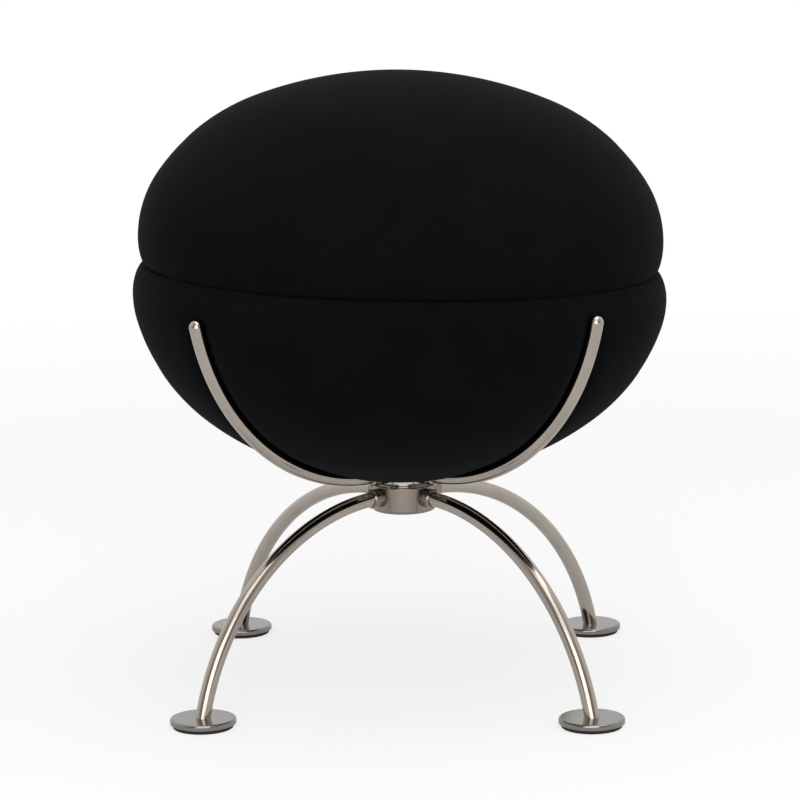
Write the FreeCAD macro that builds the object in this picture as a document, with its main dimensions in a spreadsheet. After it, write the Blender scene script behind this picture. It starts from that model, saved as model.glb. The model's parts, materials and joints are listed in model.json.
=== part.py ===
# Vanity stool: an upholstered bowl and cushion on a swivel neck, over four bent rod legs.
# Millimetres, +Z up, origin on the floor under the middle of the stool.
import FreeCAD
import Part
import Sketcher
import math
import os

LEG_COUNT = 4

# Driving dimensions: name, value, what it measures
SIZES = [
    ("first_azimuth", 45, "direction of the first leg, degrees from +X"),
    ("seat_turn", 1.66, "turn of the seat on its swivel, degrees from the legs to the arms"),
    ("rod_diameter", 12, "bent rods of the legs and arms"),
    ("rod_clearance", 0.05, "gap all round a rod or a screw in its hole"),
    ("foot_pad_diameter", 48, "black glide"),
    ("foot_pad_thickness", 3.4, "black glide"),
    ("foot_pad_chamfer", 0.5, "lower edge of the glide"),
    ("foot_disc_diameter", 52.5, "metal disc"),
    ("foot_disc_thickness", 4.3, "metal disc"),
    ("foot_disc_rounding", 1.8, "upper rim of the disc"),
    ("foot_screw_diameter", 5, "countersunk screw under each leg"),
    ("foot_screw_sink", 2.1, "head of that screw, past its shank and into the disc"),
    ("foot_screw_reach", 9, "how far the screw goes up into the leg"),
    ("leg_height", 156, "middle of a leg where it leaves the hub"),
    ("leg_straight", 2.8, "straight part of a leg outside the hub"),
    ("leg_bend_radius", 192.3, "bend of a leg, at the middle of the rod"),
    ("leg_collar_standout", 10.6, "collar of a leg outside the hub"),
    ("collar_wall", 1.8, "collars of the legs and arms"),
    ("collar_chamfer", 1, "outer edge of a collar"),
    ("hub_diameter", 52.8, "puck of the base"),
    ("hub_lid", 1.2, "puck above the legs' collars"),
    ("hub_floor", 7.5, "puck below the legs"),
    ("hub_bottom_rounding", 3.2, "lower edge of the puck"),
    ("hub_top_rounding", 1.2, "upper edge of the puck"),
    ("hub_wall", 1.5, "between the nut's recess and the ends of the legs"),
    ("hub_cap_thickness", 2, "plug of the nut's recess"),
    ("nut_room", 0.65, "between the plug and the nut"),
    ("set_screw_diameter", 4, "grub screws of the rods"),
    ("set_screw_wall", 0.75, "metal on both sides of a grub screw's hole"),
    ("spindle_diameter", 14, "swivel spindle in its bushes"),
    ("spindle_step", 1, "step down to the spindle's threaded end"),
    ("running_gap", 0.05, "gap all round the spindle and under the neck"),
    ("bush_wall", 2, "plain bearing"),
    ("bush_flange_thickness", 1, "plain bearing"),
    ("bush_flange_width", 2.95, "flange of the lower bush"),
    ("bush_proud", 0.3, "upper bush's flange above the hub that it is let into"),
    ("bush_gap", 0.6, "between the ends of the two bushes"),
    ("recess_room", 1, "round the lower bush's flange"),
    ("washer_thickness", 1.3, "under the lower bush"),
    ("nut_thickness", 5, "spindle nut"),
    ("nut_wall", 3, "spindle nut, from its thread to its flats"),
    ("neck_diameter", 36, "foot of the neck"),
    ("neck_overhang", 2, "foot of the neck past the upper bush's flange"),
    ("neck_foot_height", 3.3, "straight part of that foot"),
    ("neck_shoulder", 4, "rounded shoulder above it"),
    ("neck_wall", 2.5, "between the stud and the ends of the arms"),
    ("neck_lid", 4, "neck above the arms"),
    ("arm_lift", 1.85, "arms' collars above the foot of the neck"),
    ("arm_straight", 17.2, "straight part of an arm outside the neck's foot"),
    ("arm_collar_standout", 20.5, "collar of an arm outside the neck's foot"),
    ("arm_standoff", 5.6, "reach of the arms' bend past the widest part of the bowl"),
    ("arm_tip_angle", 76.8, "turn of the bend up to the rounded tip, degrees"),
    ("bowl_plate_diameter", 86, "steel disc under the bowl"),
    ("bowl_plate_thickness", 4, "steel disc under the bowl"),
    ("stud_diameter", 10, "stud through the seat"),
    ("stud_in_neck", 14, "length of the stud in the neck"),
    ("stud_room", 1, "between the stud and the spacer tube"),
    ("spacer_tube_wall", 3, "tube round the stud"),
    ("tee_nut_wall", 1.45, "barrel of the nut in the cushion's board"),
    ("tee_nut_flange_width", 6.5, "flange of that nut"),
    ("tee_nut_flange_thickness", 1.5, "flange of that nut"),
    ("board_thickness", 12, "plywood discs"),
    ("cover_thickness", 2, "fabric with its lining"),
    ("soft_gap", 0.3, "gap round soft pieces"),
    ("hem_width", 50, "cover turned in over or under a board"),
    ("bowl_radius", 216.9, "bowl at its widest"),
    ("bowl_flat_radius", 20, "flat at the bottom, where the bowl's curve would start"),
    ("bowl_above_arm", 1, "that flat above the middle of the arms at the neck"),
    ("bowl_depth", 146.4, "from that flat up to the widest part"),
    ("bowl_side_radius", 73.3, "side just below the widest part"),
    ("bowl_side_angle", 17.5, "turn of that arc, degrees"),
    ("bowl_flank_angle", 34.4, "turn of the next arc down, degrees"),
    ("bowl_rim_height", 22.8, "from the widest part up to the bowl's top"),
    ("bowl_rim_radius", 40, "side above the widest part"),
    ("bowl_rim_padding", 17, "foam round the bowl's board"),
    ("seam_edge", 5, "rounded edges that meet at the seam"),
    ("seam_gap", 0.3, "between the bowl and the cushion"),
    ("cushion_setback", 3.9, "cushion's widest part, in from the bowl's"),
    ("cushion_rim_height", 22.1, "from the cushion's underside up to its widest part"),
    ("cushion_rim_radius", 58, "side below the widest part"),
    ("cushion_shoulder_radius", 90.9, "side above the widest part"),
    ("cushion_shoulder_angle", 34.2, "turn of that arc, degrees"),
    ("cushion_upper_radius", 166, "between the side and the crown"),
    ("cushion_upper_angle", 34.4, "turn of that arc, degrees"),
    ("cushion_rim_padding", 15, "foam round the cushion's board"),
]

doc = FreeCAD.newDocument("vanity_stool")
sheet = doc.addObject("Spreadsheet::Sheet", "Sizes")
for row, (alias, value, meaning) in enumerate(SIZES, start=1):
    sheet.set(f"A{row}", alias)
    sheet.set(f"B{row}", str(value))
    sheet.setAlias(f"B{row}", alias)
    sheet.set(f"C{row}", meaning)
doc.recompute()

Y_DIRECTION = FreeCAD.Vector(0, 1, 0)
Z_DIRECTION = FreeCAD.Vector(0, 0, 1)
ORIGIN = FreeCAD.Vector(0, 0, 0)
pieces = []


def size(alias):
    """The value of one driving dimension."""
    return float(sheet.get(alias))


def number(expression):
    """The value of an expression of driving dimensions."""
    return float(sheet.evalExpression(expression))


def half(alias):
    """The expression for half a driving dimension, such as a radius."""
    return f"(Sizes.{alias} / 2)"


# Radii of the rods, the swivel and the stud
ROD_RADIUS = half("rod_diameter")
ROD_HOLE = f"({ROD_RADIUS} + Sizes.rod_clearance)"
COLLAR_RADIUS = f"({ROD_RADIUS} + Sizes.collar_wall)"
COLLAR_HOLE = f"({COLLAR_RADIUS} + Sizes.rod_clearance)"
SCREW_RADIUS = half("set_screw_diameter")
HUB_RADIUS = half("hub_diameter")
NECK_RADIUS = half("neck_diameter")
SPINDLE_RADIUS = half("spindle_diameter")
THREAD_RADIUS = f"({SPINDLE_RADIUS} - Sizes.spindle_step)"
THREAD_HOLE = f"({THREAD_RADIUS} + Sizes.rod_clearance)"
BUSH_BORE = f"({SPINDLE_RADIUS} + Sizes.running_gap)"
BUSH_OUTSIDE = f"({BUSH_BORE} + Sizes.bush_wall)"
LOWER_FLANGE_RADIUS = f"({BUSH_OUTSIDE} + Sizes.bush_flange_width)"
UPPER_FLANGE_RADIUS = f"({NECK_RADIUS} - Sizes.neck_overhang)"
RECESS_RADIUS = f"({LOWER_FLANGE_RADIUS} + Sizes.recess_room)"
STUD_RADIUS = half("stud_diameter")
STUD_HOLE = f"({STUD_RADIUS} + Sizes.rod_clearance)"
TUBE_BORE = f"({STUD_RADIUS} + Sizes.stud_room)"
TUBE_RADIUS = f"({TUBE_BORE} + Sizes.spacer_tube_wall)"
TUBE_HOLE = f"({TUBE_RADIUS} + Sizes.soft_gap)"

# Heights from the floor up
FOOT_TOP = "(Sizes.foot_pad_thickness + Sizes.foot_disc_thickness)"
LEG_UNDERSIDE = f"(Sizes.leg_height - {ROD_RADIUS})"
HUB_BOTTOM = f"({LEG_UNDERSIDE} - Sizes.hub_floor)"
HUB_TOP = f"(Sizes.leg_height + {COLLAR_RADIUS} + Sizes.hub_lid)"
CAP_TOP = f"({HUB_BOTTOM} + Sizes.hub_cap_thickness)"
NUT_BOTTOM = f"({CAP_TOP} + Sizes.nut_room)"
NUT_TOP = f"({NUT_BOTTOM} + Sizes.nut_thickness)"
WASHER_TOP = f"({NUT_TOP} + Sizes.washer_thickness)"
LOWER_FLANGE_BOTTOM = f"({WASHER_TOP} + Sizes.running_gap)"
RECESS_TOP = f"({LOWER_FLANGE_BOTTOM} + Sizes.bush_flange_thickness)"
UPPER_FLANGE_TOP = f"({HUB_TOP} + Sizes.bush_proud)"
UPPER_FLANGE_BOTTOM = f"({UPPER_FLANGE_TOP} - Sizes.bush_flange_thickness)"
NECK_BOTTOM = f"({UPPER_FLANGE_TOP} + Sizes.running_gap)"
ARM_HEIGHT = f"({NECK_BOTTOM} + {COLLAR_RADIUS} + Sizes.arm_lift)"
ARM_TOPSIDE = f"({ARM_HEIGHT} + {ROD_RADIUS})"
NECK_TOP = f"({ARM_TOPSIDE} + Sizes.neck_lid)"
STUD_BOTTOM = f"({NECK_TOP} - Sizes.stud_in_neck)"
PLATE_TOP = f"({NECK_TOP} + Sizes.bowl_plate_thickness)"
BOWL_BOTTOM = f"({ARM_HEIGHT} + Sizes.bowl_above_arm)"
BOWL_WIDEST = f"({BOWL_BOTTOM} + Sizes.bowl_depth)"
BOWL_TOP = f"({BOWL_WIDEST} + Sizes.bowl_rim_height)"
CUSHION_BOTTOM = f"({BOWL_TOP} + Sizes.seam_gap)"
CUSHION_WIDEST = f"({CUSHION_BOTTOM} + Sizes.cushion_rim_height)"
SOFT_INSET = "(Sizes.cover_thickness + Sizes.soft_gap)"
BOWL_BOARD_TOP = f"({BOWL_TOP} - {SOFT_INSET})"
BOWL_BOARD_BOTTOM = f"({BOWL_BOARD_TOP} - Sizes.board_thickness)"
CUSHION_BOARD_BOTTOM = f"({CUSHION_BOTTOM} + {SOFT_INSET})"
CUSHION_BOARD_TOP = f"({CUSHION_BOARD_BOTTOM} + Sizes.board_thickness)"
TEE_FLANGE_BOTTOM = f"({CUSHION_BOARD_BOTTOM} - Sizes.tee_nut_flange_thickness)"

# Distances out from the axis
LEG_ROOT = f"({RECESS_RADIUS} + Sizes.hub_wall)"
LEG_SCREW_PLACE = f"({LEG_ROOT} + Sizes.set_screw_wall + {SCREW_RADIUS})"
LEG_COLLAR_SEAT = f"({LEG_SCREW_PLACE} + {SCREW_RADIUS} + Sizes.set_screw_wall)"
LEG_COLLAR_END = f"({HUB_RADIUS} + Sizes.leg_collar_standout)"
LEG_BEND_START = f"({HUB_RADIUS} + Sizes.leg_straight)"
LEG_DROP = f"(Sizes.leg_height - {FOOT_TOP})"
FOOT_REACH = f"({LEG_BEND_START} + sqrt(2 * Sizes.leg_bend_radius * {LEG_DROP} - {LEG_DROP}^2))"
ARM_ROOT = f"({STUD_HOLE} + Sizes.neck_wall)"
ARM_SCREW_PLACE = f"({ARM_ROOT} + Sizes.set_screw_wall + {SCREW_RADIUS})"
ARM_COLLAR_SEAT = f"({ARM_SCREW_PLACE} + {SCREW_RADIUS} + Sizes.set_screw_wall)"
ARM_COLLAR_END = f"({NECK_RADIUS} + Sizes.arm_collar_standout)"
ARM_BEND_START = f"({NECK_RADIUS} + Sizes.arm_straight)"
ARM_BEND_RADIUS = f"(Sizes.bowl_radius + Sizes.arm_standoff - {ARM_BEND_START})"
BOWL_RECESS = f"(max({half('bowl_plate_diameter')}; {ARM_COLLAR_END}) + Sizes.soft_gap)"
BOWL_BOARD_RADIUS = "(Sizes.bowl_radius - Sizes.bowl_rim_padding)"
CUSHION_RADIUS = "(Sizes.bowl_radius - Sizes.cushion_setback)"
CUSHION_BOARD_RADIUS = f"({CUSHION_RADIUS} - Sizes.cushion_rim_padding)"

leg_azimuths = [size("first_azimuth") + 360 / LEG_COUNT * k for k in range(LEG_COUNT)]
arm_azimuths = [azimuth + size("seat_turn") for azimuth in leg_azimuths]


def new_body(name):
    return doc.addObject("PartDesign::Body", name)


def origin_feature(body, role):
    return next(feature for feature in body.Origin.OriginFeatures if feature.Role == role)


def new_sketch(body, name, plane, offset=None):
    """A sketch on one of the body's own planes, moved along the plane's normal by an expression."""
    sketch = body.newObject("Sketcher::SketchObject", name)
    sketch.AttachmentSupport = [(origin_feature(body, plane), "")]
    sketch.MapMode = "FlatFace"
    if offset:
        sketch.setExpression("AttachmentOffset.Base.z", offset)
    return sketch


def bind(sketch, kind, *arguments):
    """Add a constraint whose value follows the expression in the last argument."""
    *geometry, expression = arguments
    index = sketch.addConstraint(Sketcher.Constraint(kind, *geometry, number(expression)))
    sketch.setExpression(f"Constraints[{index}]", expression)


def fix_point(sketch, curve, end, x, y):
    """Tie one end of a curve to a place given by two expressions."""
    for kind, axis, expression in (("DistanceX", -2, x), ("DistanceY", -1, y)):
        if expression == "0":
            sketch.addConstraint(Sketcher.Constraint("PointOnObject", curve, end, axis))
        else:
            bind(sketch, kind, -1, 1, curve, end, expression)


def arc_between(start, end, radius, turn):
    """The arc under half a circle from start to end: turn is 1 anticlockwise, -1 clockwise."""
    chord = end - start
    rise = math.sqrt(max(radius**2 - chord.Length**2 / 4, 0))
    left = FreeCAD.Vector(-chord.y, chord.x, 0).normalize()
    centre = (start + end) * 0.5 + left * rise * turn
    first, last = (start, end) if turn > 0 else (end, start)
    angles = [math.atan2(p.y - centre.y, p.x - centre.x) for p in (first, last)]
    if angles[1] < angles[0]:
        angles[1] += 2 * math.pi
    return Part.ArcOfCircle(Part.Circle(centre, Z_DIRECTION, radius), *angles)


def draw(sketch, points, closed=True):
    """Draw an outline through points (x, y) or (x, y, radius, turn): the last two bend the way onward."""
    count = len(points)
    places = [FreeCAD.Vector(number(p[0]), number(p[1]), 0) for p in points]
    ends = []
    for k in range(count if closed else count - 1):
        start, end = places[k], places[(k + 1) % count]
        if len(points[k]) == 2:
            curve = sketch.addGeometry(Part.LineSegment(start, end))
            ends.append((curve, 1, 2))
        else:
            radius, turn = points[k][2:]
            curve = sketch.addGeometry(arc_between(start, end, number(radius), turn))
            ends.append((curve, 1, 2) if turn > 0 else (curve, 2, 1))
    for k, (curve, first, last) in enumerate(ends):
        fix_point(sketch, curve, first, points[k][0], points[k][1])
        if closed or k + 1 < len(ends):
            following, begins, _ = ends[(k + 1) % len(ends)]
            sketch.addConstraint(Sketcher.Constraint("Coincident", curve, last, following, begins))
        else:
            fix_point(sketch, curve, last, points[-1][0], points[-1][1])
        if len(points[k]) == 4:
            bind(sketch, "Radius", curve, points[k][2])


def draw_circle(sketch, x, y, radius):
    place = FreeCAD.Vector(number(x), number(y), 0)
    curve = sketch.addGeometry(Part.Circle(place, Z_DIRECTION, number(radius)))
    fix_point(sketch, curve, 3, x, y)
    bind(sketch, "Radius", curve, radius)


def turned(name, points):
    """A body turned about Z from a half outline of radius and height."""
    body = new_body(name)
    sketch = new_sketch(body, f"{name}_outline", "XZ_Plane")
    draw(sketch, points)
    feature = body.newObject("PartDesign::Revolution", f"{name}_turning")
    feature.Profile = sketch
    feature.ReferenceAxis = (sketch, ["V_Axis"])
    feature.Angle = 360
    sketch.Visibility = False
    return body


def ring(name, inside, outside, bottom, top):
    """A plain turned ring, or a disc where inside is "0"."""
    return turned(name, [(inside, bottom), (outside, bottom), (outside, top), (inside, top)])


def pocket(body, name, plane, offset, x, y, radius, length):
    """A round pocket that runs along the plane's normal, from an offset on."""
    sketch = new_sketch(body, f"{name}_outline", plane, offset)
    draw_circle(sketch, x, y, radius)
    feature = body.newObject("PartDesign::Pocket", name)
    feature.Profile = sketch
    feature.setExpression("Length", length)
    feature.Reversed = True
    sketch.Visibility = False
    return feature


def repeat_round(body, features):
    """Repeat cuts round Z, once for each leg."""
    pattern = body.newObject("PartDesign::PolarPattern", f"{body.Name}_round")
    pattern.Originals = features
    pattern.Axis = (origin_feature(body, "Z_Axis"), [""])
    pattern.Angle = 360
    pattern.Occurrences = LEG_COUNT
    body.Tip = pattern


def cylinder(name, radius, bottom, top):
    """A plain cylinder on the axis, used to cut with."""
    tool = doc.addObject("Part::Cylinder", name)
    tool.setExpression("Radius", radius)
    tool.setExpression("Height", f"{top} - {bottom}")
    tool.setExpression("Placement.Base.z", bottom)
    return tool


def cut(name, base, tools):
    """One shape less several others."""
    joined = doc.addObject("Part::MultiFuse", f"{name}_tools") if len(tools) > 1 else tools[0]
    if len(tools) > 1:
        joined.Shapes = tools
    result = doc.addObject("Part::Cut", name)
    result.Base = base
    result.Tool = joined
    return result


def turn_to(body, azimuth):
    body.Placement = FreeCAD.Placement(ORIGIN, FreeCAD.Rotation(Z_DIRECTION, azimuth))


def stand_at(body, reach, azimuth):
    """Stand a body that was made on the axis at a distance from it."""
    body.setExpression("Placement.Base.x", f"{reach} * cos({azimuth})")
    body.setExpression("Placement.Base.y", f"{reach} * sin({azimuth})")


def point_outward(body, height, azimuth):
    """Lay a body that was turned about Z along a level line out from the axis."""
    upright_to_level = FreeCAD.Rotation(Y_DIRECTION, 90)
    body.Placement = FreeCAD.Placement(ORIGIN, FreeCAD.Rotation(Z_DIRECTION, azimuth) * upright_to_level)
    body.setExpression("Placement.Base.z", height)


def keep(label, shape):
    """Name a finished piece."""
    shape.Label = label
    pieces.append(shape)


def group(label, members):
    """Several equal small pieces under one name, as separate solids."""
    compound = doc.addObject("Part::Compound", label)
    compound.Links = members
    keep(label, compound)


def bent_rod(name, radius, root, bend_start, height, bend_radius, end_x, end_z, turn):
    """A round rod that leaves the axis level and then bends up (turn 1) or down (turn -1)."""
    body = new_body(name)
    path = new_sketch(body, f"{name}_path", "XZ_Plane")
    draw(path, [(root, height), (bend_start, height, bend_radius, turn), (end_x, end_z)], closed=False)
    section = new_sketch(body, f"{name}_section", "YZ_Plane", root)
    # A quarter turn brings the seam of the rod's surface away from where the rod cuts into the bowl
    section.AttachmentOffset = FreeCAD.Placement(ORIGIN, FreeCAD.Rotation(Z_DIRECTION, 90))
    draw_circle(section, height, "0", radius)
    pipe = body.newObject("PartDesign::AdditivePipe", f"{name}_pipe")
    pipe.Profile = section
    pipe.Spine = path
    path.Visibility = False
    section.Visibility = False
    return body


# Feet: a black glide, a metal disc and a countersunk screw under each leg
FOOT_SCREW_RADIUS = half("foot_screw_diameter")
FOOT_SCREW_HOLE = f"({FOOT_SCREW_RADIUS} + Sizes.rod_clearance)"
FOOT_SCREW_TOP = f"({FOOT_TOP} + Sizes.foot_screw_reach)"


def foot_pad(name):
    edge = half("foot_pad_diameter")
    return turned(name, [
        ("0", "0"),
        (f"{edge} - Sizes.foot_pad_chamfer", "0"),
        (edge, "Sizes.foot_pad_chamfer"),
        (edge, "Sizes.foot_pad_thickness"),
        ("0", "Sizes.foot_pad_thickness"),
    ])


def foot_disc(name):
    edge = half("foot_disc_diameter")
    bottom = "Sizes.foot_pad_thickness"
    return turned(name, [
        (f"{FOOT_SCREW_HOLE} + Sizes.foot_screw_sink", bottom),
        (edge, bottom),
        (edge, f"{FOOT_TOP} - Sizes.foot_disc_rounding", "Sizes.foot_disc_rounding", 1),
        (f"{edge} - Sizes.foot_disc_rounding", FOOT_TOP),
        (FOOT_SCREW_HOLE, FOOT_TOP),
        (FOOT_SCREW_HOLE, f"{bottom} + Sizes.foot_screw_sink"),
    ])


def foot_screw(name):
    bottom = "Sizes.foot_pad_thickness + Sizes.rod_clearance"
    top = f"{FOOT_SCREW_TOP} - Sizes.rod_clearance"
    socket = f"{FOOT_SCREW_RADIUS} / 2"
    return turned(name, [
        ("0", f"{bottom} + Sizes.foot_screw_sink"),
        (socket, f"{bottom} + Sizes.foot_screw_sink"),
        (socket, bottom),
        (f"{FOOT_SCREW_RADIUS} + Sizes.foot_screw_sink", bottom),
        (FOOT_SCREW_RADIUS, f"{bottom} + Sizes.foot_screw_sink"),
        (FOOT_SCREW_RADIUS, top),
        ("0", top),
    ])


foot_screws = []
for k, azimuth in enumerate(leg_azimuths, start=1):
    for label, make in (("foot_pad", foot_pad), ("foot_disc", foot_disc)):
        foot_piece = make(f"{label}_{k}")
        stand_at(foot_piece, FOOT_REACH, azimuth)
        keep(f"{label}_{k}", foot_piece)
    foot_screws.append(foot_screw(f"foot_screw_{k}"))
    stand_at(foot_screws[-1], FOOT_REACH, azimuth)
group("foot_screws", foot_screws)


# Legs: the bend runs a little past the disc's top and is cut off level there
LEG_OVERRUN = f"({LEG_DROP} + Sizes.foot_disc_thickness)"
LEG_END = (
    f"({LEG_BEND_START} + sqrt(2 * Sizes.leg_bend_radius * {LEG_OVERRUN} - {LEG_OVERRUN}^2))",
    f"(Sizes.leg_height - {LEG_OVERRUN})",
)


def leg(name):
    body = bent_rod(name, ROD_RADIUS, LEG_ROOT, LEG_BEND_START, "Sizes.leg_height",
                    "Sizes.leg_bend_radius", *LEG_END, turn=-1)
    pocket(body, f"{name}_end", "XY_Plane", None, FOOT_REACH, "0", "2 * Sizes.rod_diameter", FOOT_TOP)
    pocket(body, f"{name}_tapping", "XY_Plane", None, FOOT_REACH, "0", FOOT_SCREW_HOLE, FOOT_SCREW_TOP)
    return body


for k, azimuth in enumerate(leg_azimuths, start=1):
    leg_body = leg(f"leg_{k}")
    turn_to(leg_body, azimuth)
    keep(f"leg_{k}", leg_body)


# Collars: sleeves that sit in the hub or the neck and stand out along the rod
def collar(name, seat, end, bend_start, bend_radius):
    """A sleeve whose bore leaves room for the start of the rod's bend."""
    bent_length = f"max({end} - {bend_start}; 0)"
    bore = f"({ROD_HOLE} + {bend_radius} - sqrt({bend_radius}^2 - {bent_length}^2))"
    return turned(name, [
        (bore, seat),
        (COLLAR_RADIUS, seat),
        (COLLAR_RADIUS, f"{end} - Sizes.collar_chamfer"),
        (f"{COLLAR_RADIUS} - Sizes.collar_chamfer", end),
        (bore, end),
    ])


for k, azimuth in enumerate(leg_azimuths, start=1):
    leg_collar = collar(f"leg_collar_{k}", LEG_COLLAR_SEAT, LEG_COLLAR_END, LEG_BEND_START,
                        "Sizes.leg_bend_radius")
    point_outward(leg_collar, "Sizes.leg_height", azimuth)
    keep(f"leg_collar_{k}", leg_collar)
for k, azimuth in enumerate(arm_azimuths, start=1):
    arm_collar = collar(f"arm_collar_{k}", ARM_COLLAR_SEAT, ARM_COLLAR_END, ARM_BEND_START, ARM_BEND_RADIUS)
    point_outward(arm_collar, ARM_HEIGHT, azimuth)
    keep(f"arm_collar_{k}", arm_collar)


def rod_sockets(body, height, root, screw_place, collar_seat, screw_bottom, screw_top, outside):
    """Level holes for the rods and their collars, and the grub screws' holes, in a hub."""
    rod_hole = pocket(body, f"{body.Name}_rod_hole", "YZ_Plane", f"{root} - Sizes.rod_clearance",
                      "0", height, ROD_HOLE, outside)
    collar_hole = pocket(body, f"{body.Name}_collar_hole", "YZ_Plane", f"{collar_seat} - Sizes.rod_clearance",
                         "0", height, COLLAR_HOLE, outside)
    screw_hole = pocket(body, f"{body.Name}_screw_hole", "XY_Plane", screw_bottom, screw_place, "0",
                        f"{SCREW_RADIUS} + Sizes.rod_clearance", f"{screw_top} - {screw_bottom}")
    repeat_round(body, [rod_hole, collar_hole, screw_hole])


def set_screws(label, azimuths, place, bottom, top):
    """Grub screws that stand between two heights, one to each rod."""
    screws = []
    for k, azimuth in enumerate(azimuths, start=1):
        screw = ring(f"{label}_{k}", "0", SCREW_RADIUS, bottom, top)
        stand_at(screw, place, azimuth)
        screws.append(screw)
    group(label, screws)


# Hub of the base
def hub():
    bottom_round = "Sizes.hub_bottom_rounding"
    top_round = "Sizes.hub_top_rounding"
    bore = f"({BUSH_OUTSIDE} + Sizes.rod_clearance)"
    flange_seat = f"({UPPER_FLANGE_RADIUS} + Sizes.rod_clearance)"
    body = turned("hub", [
        (RECESS_RADIUS, HUB_BOTTOM),
        (f"{HUB_RADIUS} - {bottom_round}", HUB_BOTTOM, bottom_round, 1),
        (HUB_RADIUS, f"{HUB_BOTTOM} + {bottom_round}"),
        (HUB_RADIUS, f"{HUB_TOP} - {top_round}", top_round, 1),
        (f"{HUB_RADIUS} - {top_round}", HUB_TOP),
        (flange_seat, HUB_TOP),
        (flange_seat, UPPER_FLANGE_BOTTOM),
        (bore, UPPER_FLANGE_BOTTOM),
        (bore, RECESS_TOP),
        (RECESS_RADIUS, RECESS_TOP),
    ])
    rod_sockets(body, "Sizes.leg_height", LEG_ROOT, LEG_SCREW_PLACE, LEG_COLLAR_SEAT,
                HUB_BOTTOM, "Sizes.leg_height", HUB_RADIUS)
    turn_to(body, leg_azimuths[0])
    return body


keep("hub", hub())
set_screws("leg_set_screws", leg_azimuths, LEG_SCREW_PLACE,
           f"{HUB_BOTTOM} + Sizes.set_screw_wall", LEG_UNDERSIDE)
keep("hub_cap", ring("hub_cap", "0", f"{RECESS_RADIUS} - Sizes.rod_clearance", HUB_BOTTOM, CAP_TOP))


# Swivel: two flanged bushes in the hub, and the washer and nut under them
def flanged_bush(name, sleeve_end, flange_face, flange_back, flange_edge):
    return turned(name, [
        (BUSH_BORE, sleeve_end),
        (BUSH_OUTSIDE, sleeve_end),
        (BUSH_OUTSIDE, flange_face),
        (flange_edge, flange_face),
        (flange_edge, flange_back),
        (BUSH_BORE, flange_back),
    ])


BUSH_MEETING = f"({UPPER_FLANGE_BOTTOM} + {RECESS_TOP}) / 2"
keep("upper_bush", flanged_bush("upper_bush", f"{BUSH_MEETING} + Sizes.bush_gap / 2", UPPER_FLANGE_BOTTOM,
                                UPPER_FLANGE_TOP, UPPER_FLANGE_RADIUS))
keep("lower_bush", flanged_bush("lower_bush", f"{BUSH_MEETING} - Sizes.bush_gap / 2", RECESS_TOP,
                                LOWER_FLANGE_BOTTOM, LOWER_FLANGE_RADIUS))
keep("spindle_washer", ring("spindle_washer", THREAD_HOLE, LOWER_FLANGE_RADIUS, NUT_TOP, WASHER_TOP))


def spindle_nut():
    corner = f"(({THREAD_RADIUS} + Sizes.nut_wall) / cos(30))"
    corners = [(f"{corner} * cos({60 * k})", f"{corner} * sin({60 * k})") for k in range(6)]
    body = new_body("spindle_nut")
    sketch = new_sketch(body, "spindle_nut_outline", "XY_Plane", NUT_BOTTOM)
    draw(sketch, corners)
    draw_circle(sketch, "0", "0", THREAD_HOLE)
    pad = body.newObject("PartDesign::Pad", "spindle_nut_pad")
    pad.Profile = sketch
    pad.setExpression("Length", "Sizes.nut_thickness")
    sketch.Visibility = False
    return body


keep("spindle_nut", spindle_nut())


# Seat hub: the polished neck that carries the arms, on its spindle
def seat_hub():
    trunk = f"({NECK_RADIUS} - Sizes.neck_shoulder)"
    shoulder = f"({NECK_BOTTOM} + Sizes.neck_foot_height)"
    body = turned("seat_hub", [
        ("0", NUT_BOTTOM),
        (THREAD_RADIUS, NUT_BOTTOM),
        (THREAD_RADIUS, WASHER_TOP),
        (SPINDLE_RADIUS, WASHER_TOP),
        (SPINDLE_RADIUS, NECK_BOTTOM),
        (NECK_RADIUS, NECK_BOTTOM),
        (NECK_RADIUS, shoulder, "Sizes.neck_shoulder", 1),
        (trunk, f"{shoulder} + Sizes.neck_shoulder"),
        (trunk, NECK_TOP),
        (STUD_HOLE, NECK_TOP),
        (STUD_HOLE, STUD_BOTTOM),
        ("0", STUD_BOTTOM),
    ])
    rod_sockets(body, ARM_HEIGHT, ARM_ROOT, ARM_SCREW_PLACE, ARM_COLLAR_SEAT,
                ARM_HEIGHT, NECK_TOP, NECK_RADIUS)
    turn_to(body, arm_azimuths[0])
    return body


keep("seat_hub", seat_hub())
set_screws("arm_set_screws", arm_azimuths, ARM_SCREW_PLACE,
           ARM_TOPSIDE, f"{NECK_TOP} - Sizes.rod_clearance")


# Arms: rods that cradle the bowl and end in a rounded tip
ARM_END = (
    f"({ARM_BEND_START} + {ARM_BEND_RADIUS} * sin(Sizes.arm_tip_angle))",
    f"({ARM_HEIGHT} + {ARM_BEND_RADIUS} * (1 - cos(Sizes.arm_tip_angle)))",
)


def arm(name, margin):
    """An arm, made thicker all round by a margin where it is to cut its own channel."""
    radius = f"({ROD_RADIUS} + {margin})"
    body = bent_rod(name, radius, ARM_ROOT, ARM_BEND_START, ARM_HEIGHT, ARM_BEND_RADIUS, *ARM_END, turn=1)
    tip = body.newObject("PartDesign::AdditiveSphere", f"{name}_tip")
    tip.setExpression("Radius", radius)
    tip.setExpression("Placement.Base.x", ARM_END[0])
    tip.setExpression("Placement.Base.z", ARM_END[1])
    return body


for k, azimuth in enumerate(arm_azimuths, start=1):
    arm_body = arm(f"arm_{k}", "0")
    turn_to(arm_body, azimuth)
    keep(f"arm_{k}", arm_body)


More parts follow.
